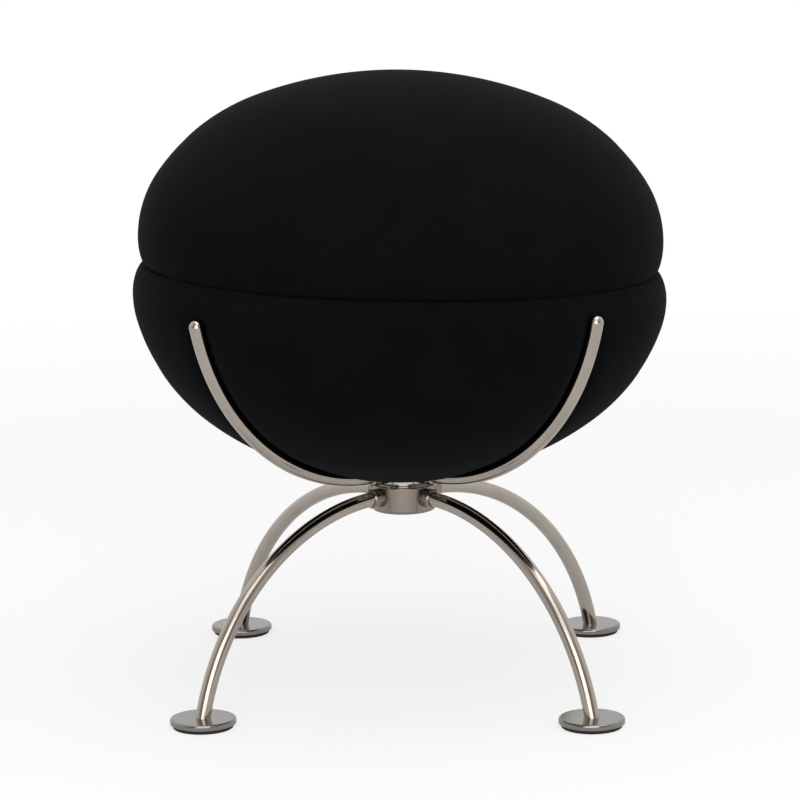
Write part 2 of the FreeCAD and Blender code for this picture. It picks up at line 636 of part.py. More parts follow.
# Bowl: arcs that run smoothly from the flat bottom, round the widest part, to the rounded top edge
# The flank's and the bottom's radii follow from where the bowl starts, how deep it is and how they turn
SIDE = "Sizes.bowl_side_angle"
LOW = "(Sizes.bowl_side_angle + Sizes.bowl_flank_angle)"
FLANK_INWARD = f"(cos({SIDE}) - cos({LOW}))"
FLANK_DROP = f"(sin({LOW}) - sin({SIDE}))"
CURVE_WIDTH = f"(Sizes.bowl_radius - Sizes.bowl_flat_radius - Sizes.bowl_side_radius * (1 - cos({SIDE})))"
CURVE_DEPTH = f"(Sizes.bowl_depth - Sizes.bowl_side_radius * sin({SIDE}))"
CURVE_SHARE = f"(cos({LOW}) * {FLANK_DROP} - {FLANK_INWARD} * (1 - sin({LOW})))"
FLANK_RADIUS = f"((cos({LOW}) * {CURVE_DEPTH} - (1 - sin({LOW})) * {CURVE_WIDTH}) / {CURVE_SHARE})"
BOTTOM_RADIUS = f"(({FLANK_DROP} * {CURVE_WIDTH} - {FLANK_INWARD} * {CURVE_DEPTH}) / {CURVE_SHARE})"
FLANK_CENTRE = (
    f"(Sizes.bowl_radius - Sizes.bowl_side_radius + (Sizes.bowl_side_radius - {FLANK_RADIUS}) * cos({SIDE}))",
    f"({BOWL_WIDEST} - (Sizes.bowl_side_radius - {FLANK_RADIUS}) * sin({SIDE}))",
)


def seam_corner(rim_radius, rim_height):
    """Out and up from a rim arc's centre to the centre of the small arc at the seam."""
    out = f"sqrt(({rim_radius} - Sizes.seam_edge)^2 - ({rim_height} - Sizes.seam_edge)^2)"
    up = f"({rim_height} - Sizes.seam_edge)"
    return out, up


def bowl_outline(inset):
    """The bowl's half outline, drawn in by an inset all round."""
    side = f"(Sizes.bowl_side_radius - {inset})"
    flank = f"({FLANK_RADIUS} - {inset})"
    bottom = f"({BOTTOM_RADIUS} - {inset})"
    rim = f"(Sizes.bowl_rim_radius - {inset})"
    edge = f"(Sizes.seam_edge - {inset})"
    rim_centre = "(Sizes.bowl_radius - Sizes.bowl_rim_radius)"
    out, up = seam_corner("Sizes.bowl_rim_radius", "Sizes.bowl_rim_height")
    share = f"{rim} / (Sizes.bowl_rim_radius - Sizes.seam_edge)"
    return [
        ("0", f"{BOWL_BOTTOM} + {inset}"),
        ("Sizes.bowl_flat_radius", f"{BOWL_BOTTOM} + {inset}", bottom, 1),
        (f"{FLANK_CENTRE[0]} + {flank} * cos({LOW})", f"{FLANK_CENTRE[1]} - {flank} * sin({LOW})", flank, 1),
        (f"Sizes.bowl_radius - Sizes.bowl_side_radius + {side} * cos({SIDE})",
         f"{BOWL_WIDEST} - {side} * sin({SIDE})", side, 1),
        (f"Sizes.bowl_radius - {inset}", BOWL_WIDEST, rim, 1),
        (f"{rim_centre} + {out} * {share}", f"{BOWL_WIDEST} + {up} * {share}", edge, 1),
        (f"{rim_centre} + {out}", f"{BOWL_TOP} - {inset}"),
        ("0", f"{BOWL_TOP} - {inset}"),
    ]


def bowl_form(name, inset):
    """The bowl drawn in by an inset, with the channels that the arms lie in."""
    channels = []
    for k, azimuth in enumerate(arm_azimuths, start=1):
        channel = arm(f"{name}_channel_{k}", f"(Sizes.soft_gap + {inset})")
        turn_to(channel, azimuth)
        channels.append(channel)
    return cut(name, turned(f"{name}_body", bowl_outline(inset)), channels)


keep("bowl_plate", ring("bowl_plate", STUD_HOLE, half("bowl_plate_diameter"), NECK_TOP, PLATE_TOP))

keep("bowl_board", ring("bowl_board", TUBE_HOLE, BOWL_BOARD_RADIUS, BOWL_BOARD_BOTTOM, BOWL_BOARD_TOP))

keep("bowl_cover", cut("bowl_cover", bowl_form("bowl_outside", "0"), [
    bowl_form("bowl_inside", "Sizes.cover_thickness"),
    cylinder("bowl_hem_opening", f"{BOWL_BOARD_RADIUS} - Sizes.hem_width", BOWL_WIDEST, CUSHION_BOTTOM),
    cylinder("bowl_cover_recess", BOWL_RECESS, NECK_BOTTOM, BOWL_WIDEST),
]))
keep("bowl_core", cut("bowl_core", bowl_form("bowl_filling", SOFT_INSET), [
    cylinder("bowl_core_recess", BOWL_RECESS, NECK_BOTTOM, PLATE_TOP),
    cylinder("bowl_tube_hole", TUBE_HOLE, NECK_BOTTOM, BOWL_TOP),
    cylinder("bowl_board_pocket", f"{BOWL_BOARD_RADIUS} + Sizes.soft_gap",
             f"({BOWL_BOARD_BOTTOM} - Sizes.soft_gap)", CUSHION_BOTTOM),
]))


# Cushion: a dome of arcs that run smoothly from the rounded lower edge to the crown
RISE = "Sizes.cushion_shoulder_angle"
HIGH = "(Sizes.cushion_shoulder_angle + Sizes.cushion_upper_angle)"
UPPER_STEP = "(Sizes.cushion_shoulder_radius - Sizes.cushion_upper_radius)"
UPPER_CENTRE = (
    f"({CUSHION_RADIUS} - Sizes.cushion_shoulder_radius + {UPPER_STEP} * cos({RISE}))",
    f"({CUSHION_WIDEST} + {UPPER_STEP} * sin({RISE}))",
)
CROWN_RADIUS = f"(Sizes.cushion_upper_radius + {UPPER_CENTRE[0]} / cos({HIGH}))"
CROWN_CENTRE = f"({UPPER_CENTRE[1]} - {UPPER_CENTRE[0]} * tan({HIGH}))"


def cushion_outline(inset):
    """The cushion's half outline, drawn in by an inset all round."""
    shoulder = f"(Sizes.cushion_shoulder_radius - {inset})"
    upper = f"(Sizes.cushion_upper_radius - {inset})"
    crown = f"({CROWN_RADIUS} - {inset})"
    rim = f"(Sizes.cushion_rim_radius - {inset})"
    edge = f"(Sizes.seam_edge - {inset})"
    rim_centre = f"({CUSHION_RADIUS} - Sizes.cushion_rim_radius)"
    out, up = seam_corner("Sizes.cushion_rim_radius", "Sizes.cushion_rim_height")
    share = f"{rim} / (Sizes.cushion_rim_radius - Sizes.seam_edge)"
    return [
        ("0", f"{CUSHION_BOTTOM} + {inset}"),
        (f"{rim_centre} + {out}", f"{CUSHION_BOTTOM} + {inset}", edge, 1),
        (f"{rim_centre} + {out} * {share}", f"{CUSHION_WIDEST} - {up} * {share}", rim, 1),
        (f"{CUSHION_RADIUS} - {inset}", CUSHION_WIDEST, shoulder, 1),
        (f"{CUSHION_RADIUS} - Sizes.cushion_shoulder_radius + {shoulder} * cos({RISE})",
         f"{CUSHION_WIDEST} + {shoulder} * sin({RISE})", upper, 1),
        (f"{UPPER_CENTRE[0]} + {upper} * cos({HIGH})",
         f"{UPPER_CENTRE[1]} + {upper} * sin({HIGH})", crown, 1),
        ("0", f"{CROWN_CENTRE} + {crown}"),
    ]


TEE_NUT_RADIUS = f"({STUD_HOLE} + Sizes.tee_nut_wall)"
keep("cushion_board", ring("cushion_board", f"{TEE_NUT_RADIUS} + Sizes.rod_clearance", CUSHION_BOARD_RADIUS,
                           CUSHION_BOARD_BOTTOM, CUSHION_BOARD_TOP))

keep("cushion_cover", cut("cushion_cover", turned("cushion_outside", cushion_outline("0")), [
    turned("cushion_inside", cushion_outline("Sizes.cover_thickness")),
    cylinder("cushion_hem_opening", f"{CUSHION_BOARD_RADIUS} - Sizes.hem_width", BOWL_TOP, CUSHION_WIDEST),
]))
keep("cushion_foam", cut("cushion_foam", turned("cushion_filling", cushion_outline(SOFT_INSET)), [
    cylinder("cushion_board_pocket", f"{CUSHION_BOARD_RADIUS} + Sizes.soft_gap",
             BOWL_TOP, f"({CUSHION_BOARD_TOP} + Sizes.soft_gap)"),
]))


# Tie: a stud from the neck up into the cushion's board, through a spacer tube
TEE_FLANGE_RADIUS = f"({TEE_NUT_RADIUS} + Sizes.tee_nut_flange_width)"
keep("centre_stud", ring("centre_stud", "0", STUD_RADIUS, STUD_BOTTOM, CUSHION_BOARD_TOP))
keep("spacer_tube", ring("spacer_tube", TUBE_BORE, TUBE_RADIUS, PLATE_TOP, TEE_FLANGE_BOTTOM))
keep("tee_nut", turned("tee_nut", [
    (STUD_HOLE, TEE_FLANGE_BOTTOM),
    (TEE_FLANGE_RADIUS, TEE_FLANGE_BOTTOM),
    (TEE_FLANGE_RADIUS, CUSHION_BOARD_BOTTOM),
    (TEE_NUT_RADIUS, CUSHION_BOARD_BOTTOM),
    (TEE_NUT_RADIUS, CUSHION_BOARD_TOP),
    (STUD_HOLE, CUSHION_BOARD_TOP),
]))

doc.recompute()

# Nothing is written unless every object and every piece is sound
for item in doc.Objects:
    if "Invalid" in item.State or "Error" in item.State:
        raise RuntimeError(f"{item.Label} failed: {item.State}")
for piece in pieces:
    if piece.Shape.isNull() or not piece.Shape.isValid() or not piece.Shape.Solids:
        raise RuntimeError(f"{piece.Label} has no valid solid")

os.makedirs("parts", exist_ok=True)
for piece in pieces:
    piece.Shape.exportStep(f"parts/{piece.Label}.step")
    print(f"{piece.Label}: {len(piece.Shape.Solids)} solid(s), {piece.Shape.Volume:.1f} mm3")
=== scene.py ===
"""Vanity stool: its fabric, metal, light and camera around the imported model, in metres."""
import json
import math

import bpy
import numpy as np
from mathutils import Matrix, Vector


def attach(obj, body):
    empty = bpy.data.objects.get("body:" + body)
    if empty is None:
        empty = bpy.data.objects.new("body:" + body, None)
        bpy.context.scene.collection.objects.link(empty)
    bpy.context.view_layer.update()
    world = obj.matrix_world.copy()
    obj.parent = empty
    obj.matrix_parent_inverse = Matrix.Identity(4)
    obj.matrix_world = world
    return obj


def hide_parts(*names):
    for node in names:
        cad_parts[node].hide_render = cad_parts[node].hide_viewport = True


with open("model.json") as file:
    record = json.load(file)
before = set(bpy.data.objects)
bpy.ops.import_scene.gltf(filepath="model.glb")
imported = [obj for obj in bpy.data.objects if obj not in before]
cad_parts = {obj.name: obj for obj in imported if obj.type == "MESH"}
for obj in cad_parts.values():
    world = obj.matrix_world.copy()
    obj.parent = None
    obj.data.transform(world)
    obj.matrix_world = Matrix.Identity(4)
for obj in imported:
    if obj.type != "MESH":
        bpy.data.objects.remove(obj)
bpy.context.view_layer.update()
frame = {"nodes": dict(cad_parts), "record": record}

# Metal arms that cradle the bowl, as in the solids
ROD_RADIUS = 0.006
ARM_BEND_CENTRE = (0.0352, 0.3623)
ARM_BEND_RADIUS = 0.1873
ARM_TIP_ANGLE = math.radians(76.8)
FIRST_ARM_AZIMUTH = math.radians(46.66)
ARM_COUNT = 4

# Bowl, as in the solids
BOWL_RADIUS = 0.2169
BOWL_BOTTOM = 0.176
BOWL_FLAT_RADIUS = 0.020
BOWL_WIDEST = 0.3224
BOWL_SIDE_RADIUS = 0.0733
BOWL_SIDE_ANGLE = 17.5
BOWL_LOW_ANGLE = 51.9
BOWL_RIM_HEIGHT = 0.0228
BOWL_RIM_RADIUS = 0.040
BOWL_RECESS_RADIUS = 0.0433
BOWL_RECESS_CEILING = 0.1893
BOWL_LIP = 0.002
TUBE_HOLE_RADIUS = 0.0093

# Cushion, as in the solids
CUSHION_BOTTOM = 0.3455
CUSHION_RADIUS = 0.213
CUSHION_RIM_HEIGHT = 0.0221
CUSHION_RIM_RADIUS = 0.058
CUSHION_SHOULDER_RADIUS = 0.0909
CUSHION_SHOULDER_ANGLE = 34.2
CUSHION_UPPER_RADIUS = 0.166
CUSHION_HIGH_ANGLE = 68.6
CUSHION_CAP_RADIUS = 0.090
NUT_RECESS_RADIUS = 0.0145
NUT_RECESS_HEIGHT = 0.0024

# Seam between bowl and cushion: the rounding of both edges and how far it draws the fabric in
SEAM_EDGE = 0.005
SEAM_REACH = 0.030

# How finely the soft meshes are made
AROUND = 320
SPACING = 0.0045
RIM_SPACING = SPACING * 0.6
EDGE_SPACING = 0.0015
HIDDEN_SPACING = 0.014

# How the fabric swells: from a form smaller by SWELL to one fuller by up to FULLNESS
SWELL = 0.0025
FULLNESS = 0.0004
HELD_SHARE = 0.02
CLOTH_FRAMES = 20
CLOTH_SETTINGS = {
    "quality": 5,
    "mass": 0.002,
    "tension_stiffness": 0.08,
    "compression_stiffness": 0.08,
    "shear_stiffness": 0.04,
    "bending_stiffness": 0.01,
    "tension_damping": 0.05,
    "compression_damping": 0.05,
    "shear_damping": 0.05,
    "bending_damping": 0.05,
    "use_pressure": True,
    "uniform_pressure_force": 4.0,
}

# How the seat leans: the bowl from TILT_FLOOR up, and hidden faces only where they near the rim
SEAT_TILT = math.radians(2.0)
TILT_FLOOR = 0.172
TILT_INNER_REACH = 0.2005
TILT_OUTER_REACH = 0.2065

# How the fabric hangs round the neck
SAG = 0.0024
SAG_FULL_REACH = 0.060
SAG_END_REACH = 0.105
SAG_TOP = 0.182

# How the arms dent the bowl: only fabric within ARM_RANGE of a rod's middle
DENT_CLEARANCE = 0.0006
DENT_WIDTH = 0.007
ARM_RANGE = 0.030

# Small gathers at the seam: waves of these counts around it
PUCKER_HEIGHT = 0.00015
PUCKER_REACH = 0.010
PUCKER_COUNTS = (47, 71, 96)
PUCKER_SHARES = (0.5, 1.0)

# Camera, worked out from the feet, the rods and the outline in the photo
CAMERA_AZIMUTH = math.radians(3.16)
CAMERA_PLACE = Vector((-0.0019, -2.6669, 0.7060))
CAMERA_AIM = Vector((-0.0019, 0.0, 0.2337))
CAMERA_ROLL = math.radians(-0.927)
CAMERA_LENS = 148.65
CAMERA_SENSOR = 36.0


# Outlines of the soft pieces: rows of radius, height, outward normal, and 1 on the skin that shows
def arc(centre, radius, start, end, spacing, shows=1.0):
    """Points on an arc, with angles in degrees up from straight out."""
    steps = max(2, round(abs(math.radians(end - start)) * radius / spacing))
    angles = np.radians(np.linspace(start, end, steps + 1))
    out, up = np.cos(angles), np.sin(angles)
    shown = np.full_like(out, shows)
    return np.column_stack([centre[0] + radius * out, centre[1] + radius * up, out, up, shown])


def straight(start, end, normal):
    """Points on a straight stretch that doesn't show."""
    steps = max(1, round(math.dist(start, end) / HIDDEN_SPACING))
    share = np.linspace(0.0, 1.0, steps + 1)[:, None]
    places = np.array(start) + (np.array(end) - np.array(start)) * share
    return np.column_stack([places, np.tile([*normal, 0.0], (steps + 1, 1))])


def chain(stretches):
    """Stretches joined end to start, each shared point kept once."""
    return np.vstack([stretches[0]] + [stretch[1:] for stretch in stretches[1:]])


def seam_corner(rim_radius, rim_height):
    """Out and up from a rim arc's centre to the seam edge's centre, and the angle between the two arcs."""
    up = rim_height - SEAM_EDGE
    out = math.sqrt((rim_radius - SEAM_EDGE) ** 2 - up**2)
    return out, up, math.degrees(math.atan2(up, out))


def bowl_profile():
    """The bowl's outline, from the lip round the neck out, up to the seam and back inside."""
    side, low = math.radians(BOWL_SIDE_ANGLE), math.radians(BOWL_LOW_ANGLE)
    width = BOWL_RADIUS - BOWL_FLAT_RADIUS - BOWL_SIDE_RADIUS * (1 - math.cos(side))
    depth = BOWL_WIDEST - BOWL_BOTTOM - BOWL_SIDE_RADIUS * math.sin(side)
    inward = math.cos(side) - math.cos(low)
    drop = math.sin(low) - math.sin(side)
    share = math.cos(low) * drop - inward * (1 - math.sin(low))
    flank_radius = (math.cos(low) * depth - (1 - math.sin(low)) * width) / share
    bottom_radius = (drop * width - inward * depth) / share
    flank_step = BOWL_SIDE_RADIUS - flank_radius
    flank_centre = (BOWL_RADIUS - BOWL_SIDE_RADIUS + flank_step * math.cos(side),
                    BOWL_WIDEST - flank_step * math.sin(side))
    bottom_centre = (BOWL_FLAT_RADIUS, BOWL_BOTTOM + bottom_radius)
    lip_reach = BOWL_RECESS_RADIUS + BOWL_LIP
    start = -90 + math.degrees(math.asin((lip_reach - BOWL_FLAT_RADIUS) / bottom_radius))
    lip_bottom = bottom_centre[1] + bottom_radius * math.sin(math.radians(start))
    rim_centre = BOWL_RADIUS - BOWL_RIM_RADIUS
    out, up, turn = seam_corner(BOWL_RIM_RADIUS, BOWL_RIM_HEIGHT)
    top = BOWL_WIDEST + BOWL_RIM_HEIGHT
    hole_end = (TUBE_HOLE_RADIUS, BOWL_RECESS_CEILING)
    recess_corner = (BOWL_RECESS_RADIUS, BOWL_RECESS_CEILING)
    return chain([
        arc((lip_reach, lip_bottom + BOWL_LIP), BOWL_LIP, -180, -90, EDGE_SPACING, 0.0),
        arc(bottom_centre, bottom_radius, start, -BOWL_LOW_ANGLE, SPACING),
        arc(flank_centre, flank_radius, -BOWL_LOW_ANGLE, -BOWL_SIDE_ANGLE, SPACING),
        arc((BOWL_RADIUS - BOWL_SIDE_RADIUS, BOWL_WIDEST), BOWL_SIDE_RADIUS, -BOWL_SIDE_ANGLE, 0, SPACING),
        arc((rim_centre, BOWL_WIDEST), BOWL_RIM_RADIUS, 0, turn, RIM_SPACING),
        arc((rim_centre + out, BOWL_WIDEST + up), SEAM_EDGE, turn, 90, EDGE_SPACING),
        straight((rim_centre + out, top), (TUBE_HOLE_RADIUS, top), (0, 1)),
        straight((TUBE_HOLE_RADIUS, top), hole_end, (-1, 0)),
        straight(hole_end, recess_corner, (0, -1)),
        straight(recess_corner, (BOWL_RECESS_RADIUS, lip_bottom + BOWL_LIP), (-1, 0)),
    ])[:-1]


def cushion_crown():
    """The centre of the upper arc, the height of the crown's centre and the crown's radius."""
    rise, high = math.radians(CUSHION_SHOULDER_ANGLE), math.radians(CUSHION_HIGH_ANGLE)
    step = CUSHION_SHOULDER_RADIUS - CUSHION_UPPER_RADIUS
    upper_out = CUSHION_RADIUS - CUSHION_SHOULDER_RADIUS + step * math.cos(rise)
    upper_up = CUSHION_BOTTOM + CUSHION_RIM_HEIGHT + step * math.sin(rise)
    radius = CUSHION_UPPER_RADIUS + upper_out / math.cos(high)
    return (upper_out, upper_up), upper_up - upper_out * math.tan(high), radius


def cushion_profile():
    """The cushion's outline, from the nut's recess out, up past the seam and to the edge of the cap."""
    widest = CUSHION_BOTTOM + CUSHION_RIM_HEIGHT
    rim_centre = CUSHION_RADIUS - CUSHION_RIM_RADIUS
    out, up, turn = seam_corner(CUSHION_RIM_RADIUS, CUSHION_RIM_HEIGHT)
    upper_centre, crown_height, crown_radius = cushion_crown()
    crown_end = math.degrees(math.acos(CUSHION_CAP_RADIUS / crown_radius))
    recess = CUSHION_BOTTOM + NUT_RECESS_HEIGHT
    return chain([
        straight((NUT_RECESS_RADIUS, recess), (NUT_RECESS_RADIUS, CUSHION_BOTTOM), (-1, 0)),
        straight((NUT_RECESS_RADIUS, CUSHION_BOTTOM), (rim_centre + out, CUSHION_BOTTOM), (0, -1)),
        arc((rim_centre + out, widest - up), SEAM_EDGE, -90, -turn, EDGE_SPACING),
        arc((rim_centre, widest), CUSHION_RIM_RADIUS, -turn, 0, RIM_SPACING),
        arc((CUSHION_RADIUS - CUSHION_SHOULDER_RADIUS, widest), CUSHION_SHOULDER_RADIUS,
            0, CUSHION_SHOULDER_ANGLE, SPACING),
        arc(upper_centre, CUSHION_UPPER_RADIUS, CUSHION_SHOULDER_ANGLE, CUSHION_HIGH_ANGLE, SPACING),
        arc((0.0, crown_height), crown_radius, CUSHION_HIGH_ANGLE, crown_end, SPACING),
    ])


# Soft meshes: outlines turned round the axis
class Soft:
    """Points, normals and faces of a soft piece while it is being shaped."""

    def __init__(self, profile):
        turn = np.linspace(0.0, 2 * math.pi, AROUND, endpoint=False)
        across = np.column_stack([np.cos(turn), np.sin(turn)])
        count = len(profile)
        flat = np.repeat(profile, AROUND, axis=0)
        ways = np.tile(across, (count, 1))
        self.points = np.column_stack([flat[:, :1] * ways, flat[:, 1]])
        self.normals = np.column_stack([flat[:, 2:3] * ways, flat[:, 3]])
        self.shows = flat[:, 4]
        self.rings = count
        self.faces = []

    def wall(self, closed):
        """Faces between neighbouring rings."""
        last = self.rings if closed else self.rings - 1
        for k in range(last):
            low, high = k * AROUND, (k + 1) % self.rings * AROUND
            for j in range(AROUND):
                nxt = (j + 1) % AROUND
                self.faces.append((low + j, low + nxt, high + nxt, high + j))

    def add(self, points, normals, shows):
        """Add points and give the index of the first."""
        first = len(self.points)
        self.points = np.vstack([self.points, points])
        self.normals = np.vstack([self.normals, normals])
        self.shows = np.concatenate([self.shows, np.full(len(points), shows)])
        return first

    def close_start(self):
        """Close the first ring with a fan that doesn't show."""
        centre = self.add([[0.0, 0.0, self.points[0, 2]]], [[0.0, 0.0, -1.0]], 0.0)
        for j in range(AROUND):
            self.faces.append((centre, (j + 1) % AROUND, j))

    def close_crown(self, height, radius):
        """Close the last ring with a grid bent to a disc, so that no faces run to a point."""
        steps = AROUND // 4
        index = np.zeros((steps + 1, steps + 1), int)
        last_ring = (self.rings - 1) * AROUND
        inner = []
        for a in range(steps + 1):
            for b in range(steps + 1):
                u, v = 2 * a / steps - 1, 2 * b / steps - 1
                share = max(abs(u), abs(v))
                angle = disc_angle(u, v) if share else 0.0
                if a in (0, steps) or b in (0, steps):
                    index[a, b] = last_ring + round(angle / (2 * math.pi) * AROUND) % AROUND
                else:
                    index[a, b] = len(self.points) + len(inner)
                    reach = share * CUSHION_CAP_RADIUS
                    inner.append((reach * math.cos(angle), reach * math.sin(angle),
                                  height + math.sqrt(radius**2 - reach**2)))
        points = np.array(inner)
        normals = points - np.array([0.0, 0.0, height])
        self.add(points, normals / np.linalg.norm(normals, axis=1)[:, None], 1.0)
        for a in range(steps):
            for b in range(steps):
                self.faces.append((index[a, b], index[a + 1, b], index[a + 1, b + 1], index[a, b + 1]))


def disc_angle(u, v):
    """The direction of a square's point when the square is bent to a disc."""
    if abs(u) >= abs(v):
        return math.pi / 4 * v / u + (0.0 if u > 0 else math.pi)
    return math.pi / 2 - math.pi / 4 * u / v + (0.0 if v > 0 else math.pi)


def smooth_step(value, low, high):
    """0 up to low, 1 from high on, and a smooth rise between them."""
    share = np.clip((value - low) / (high - low), 0.0, 1.0)
    return share * share * (3.0 - 2.0 * share)


def seam_distance(points):
    """How far points lie from the level of the seam."""
    return np.abs(points[:, 2] - (CUSHION_BOTTOM + BOWL_WIDEST + BOWL_RIM_HEIGHT) / 2)


def make_object(name, points, faces):
    """A smooth mesh object in the scene."""
    mesh = bpy.data.meshes.new(name)
    mesh.from_pydata(points.tolist(), [], faces)
    mesh.polygons.foreach_set("use_smooth", [True] * len(mesh.polygons))
    mesh.update()
    piece = bpy.data.objects.new(name, mesh)
    bpy.context.collection.objects.link(piece)
    return piece


def settle(name, soft):
    """Swell the fabric by cloth simulation from a smaller form, held at the seam and hidden faces."""
    start = SWELL * smooth_step(seam_distance(soft.points), SEAM_EDGE, SEAM_REACH) * soft.shows
    smaller = soft.points - soft.normals * start[:, None]
    piece = make_object(f"{name}_cloth", smaller, soft.faces)
    held = piece.vertex_groups.new(name="held")
    held.add(np.where(start < SWELL * HELD_SHARE)[0].tolist(), 1.0, "REPLACE")
    cloth = piece.modifiers.new("cloth", "CLOTH")
    for setting, value in CLOTH_SETTINGS.items():
        setattr(cloth.settings, setting, value)
    cloth.settings.vertex_group_mass = held.name
    cloth.settings.effector_weights.gravity = 0
    cloth.point_cache.frame_start = 1
    cloth.point_cache.frame_end = CLOTH_FRAMES
    scene = bpy.context.scene
    for step in range(1, CLOTH_FRAMES + 1):
        scene.frame_set(step)
    swollen = piece.evaluated_get(bpy.context.evaluated_depsgraph_get()).to_mesh()
    moved = np.empty(len(smaller) * 3)
    swollen.vertices.foreach_get("co", moved)
    shift = moved.reshape(-1, 3) - smaller
    outward = np.sum(shift * soft.normals, axis=1)
    sideways = shift - soft.normals * outward[:, None]
    outward = np.clip(outward, start, start + FULLNESS)
    sideways *= np.minimum(1.0, SWELL / np.maximum(np.linalg.norm(sideways, axis=1), 1e-9))[:, None]
    soft.points = smaller + soft.normals * outward[:, None] + sideways
    bpy.data.objects.remove(piece)
    scene.frame_set(1)


def tilt_weight(soft, upper):
    """How far the seat's tilt reaches: all of the cushion's skin, and the bowl's from its bottom up."""
    reach = np.hypot(soft.points[:, 0], soft.points[:, 1])
    inside = smooth_step(reach, TILT_INNER_REACH, TILT_OUTER_REACH)
    if upper:
        return np.where(soft.shows > 0, 1.0, inside)
    grows = smooth_step(soft.points[:, 2], TILT_FLOOR, BOWL_WIDEST + BOWL_RIM_HEIGHT)
    return np.where(soft.shows > 0, grows, inside * grows)


def tilt(soft, upper):
    """Lean the seat's top a little to the right of the camera, as in the photo."""
    right = np.array([math.cos(CAMERA_AZIMUTH), math.sin(CAMERA_AZIMUTH), 0.0])
    weight = tilt_weight(soft, upper)
    along = soft.points @ right
    lift = soft.points[:, 2] - CUSHION_BOTTOM
    soft.points = soft.points + np.outer(weight * lift * math.sin(SEAT_TILT), right)
    soft.points[:, 2] -= weight * along * math.sin(SEAT_TILT)


def sag(soft):
    """Let the fabric round the neck hang a little lower, as in the photo."""
    reach = np.hypot(soft.points[:, 0], soft.points[:, 1])
    height = soft.points[:, 2]
    near = 1.0 - smooth_step(reach, SAG_FULL_REACH, SAG_END_REACH)
    wall = 1.0 - smooth_step(height, SAG_TOP, BOWL_RECESS_CEILING)
    soft.points[:, 2] = height - SAG * near * np.where(soft.shows > 0, 1.0, wall)


def press_in_arms(soft):
    """Dent the bowl under each arm, so that the fabric lies round the rod and rises smoothly beside it."""
    reach = np.hypot(soft.points[:, 0], soft.points[:, 1])
    azimuth = np.arctan2(soft.points[:, 1], soft.points[:, 0])
    quarter = 2 * math.pi / ARM_COUNT
    beside = (azimuth - FIRST_ARM_AZIMUTH + quarter / 2) % quarter - quarter / 2
    sideways = reach * np.sin(beside)
    from_centre = np.column_stack([reach * np.cos(beside) - ARM_BEND_CENTRE[0],
                                   soft.points[:, 2] - ARM_BEND_CENTRE[1]])
    out = np.hypot(soft.normals[:, 0], soft.normals[:, 1]) * np.sign(
        soft.normals[:, 0] * soft.points[:, 0] + soft.normals[:, 1] * soft.points[:, 1])
    normal = np.column_stack([out, soft.normals[:, 2]])
    towards = np.sum(from_centre * normal, axis=1)
    inside = ARM_BEND_RADIUS**2 - np.sum(from_centre**2, axis=1) + towards**2
    rod_height = np.sqrt(np.maximum(inside, 0.0)) - towards
    angle = np.arctan2(from_centre[:, 0], -from_centre[:, 1])
    past_tip = ARM_BEND_RADIUS * np.maximum(angle - ARM_TIP_ANGLE, 0.0)
    depth = np.maximum(ROD_RADIUS + DENT_CLEARANCE - rod_height, 0.0)
    falloff = np.cosh(np.hypot(sideways, past_tip) / DENT_WIDTH)
    dent = depth / falloff * (soft.shows > 0) * (np.abs(rod_height) < ARM_RANGE)
    soft.points = soft.points - soft.normals * dent[:, None]


def pucker(soft, seed):
    """Small gathers where the fabric is drawn into the seam."""
    draws = np.random.default_rng(seed)
    azimuth = np.arctan2(soft.points[:, 1], soft.points[:, 0])
    wave = np.zeros(len(azimuth))
    for count in PUCKER_COUNTS:
        wave += np.sin(count * azimuth + draws.uniform(0, 2 * math.pi)) * draws.uniform(*PUCKER_SHARES)
    near = np.exp(-((seam_distance(soft.points) - SEAM_EDGE) / PUCKER_REACH) ** 2) * soft.shows
    soft.points = soft.points + soft.normals * (PUCKER_HEIGHT * wave * near)[:, None]


def finish_soft(name, soft):
    """The shaped piece as an object, rounded by one subdivision."""
    piece = make_object(name, soft.points, soft.faces)
    rounding = piece.modifiers.new("rounding", "SUBSURF")
    rounding.levels = 1
    rounding.render_levels = 1
    return piece


def make_bowl():
    """The fabric of the lower half, which lies in the arms."""
    soft = Soft(bowl_profile())
    soft.wall(closed=True)
    settle("bowl", soft)
    pucker(soft, seed=3)
    tilt(soft, upper=False)
    sag(soft)
    press_in_arms(soft)
    return finish_soft("bowl", soft)


def make_cushion():
    """The fabric of the domed upper half."""
    soft = Soft(cushion_profile())
    soft.wall(closed=False)
    soft.close_start()
    _, crown_height, crown_radius = cushion_crown()
    soft.close_crown(crown_height, crown_radius)
    settle("cushion", soft)
    pucker(soft, seed=5)
    tilt(soft, upper=True)
    return finish_soft("cushion", soft)


# Materials
NICKEL = (0.465, 0.416, 0.366)
# Lighter copy of nickel for the neck: a painted highlight
NECK_NICKEL_PAINTED_HIGHLIGHT = (0.68, 0.64, 0.60)
SATIN_NICKEL = (0.31, 0.268, 0.232)
# Darker copy of nickel for the foot discs: painted shade
FOOT_NICKEL_PAINTED_SHADE = (0.29, 0.274, 0.257)
ZINC = (0.50, 0.51, 0.53)
BRONZE = (0.55, 0.36, 0.17)
FABRIC_DARK = (0.0018, 0.0020, 0.0027)
FABRIC_LIGHT = (0.0048, 0.0051, 0.0062)
FABRIC_SHEEN = (0.55, 0.55, 0.56, 1.0)
RUBBER_DARK = (0.008, 0.008, 0.008)
RUBBER_LIGHT = (0.016, 0.016, 0.016)
PLASTIC_DARK = (0.012, 0.012, 0.012)
PLASTIC_LIGHT = (0.02, 0.02, 0.02)
FOAM_DARK = (0.62, 0.55, 0.36)
FOAM_LIGHT = (0.78, 0.72, 0.52)
BIRCH_DARK = (0.34, 0.21, 0.11)
BIRCH_LIGHT = (0.58, 0.42, 0.25)

# Darker and lighter clouds in a metal's colour
METAL_TONES = (0.93, 1.05)


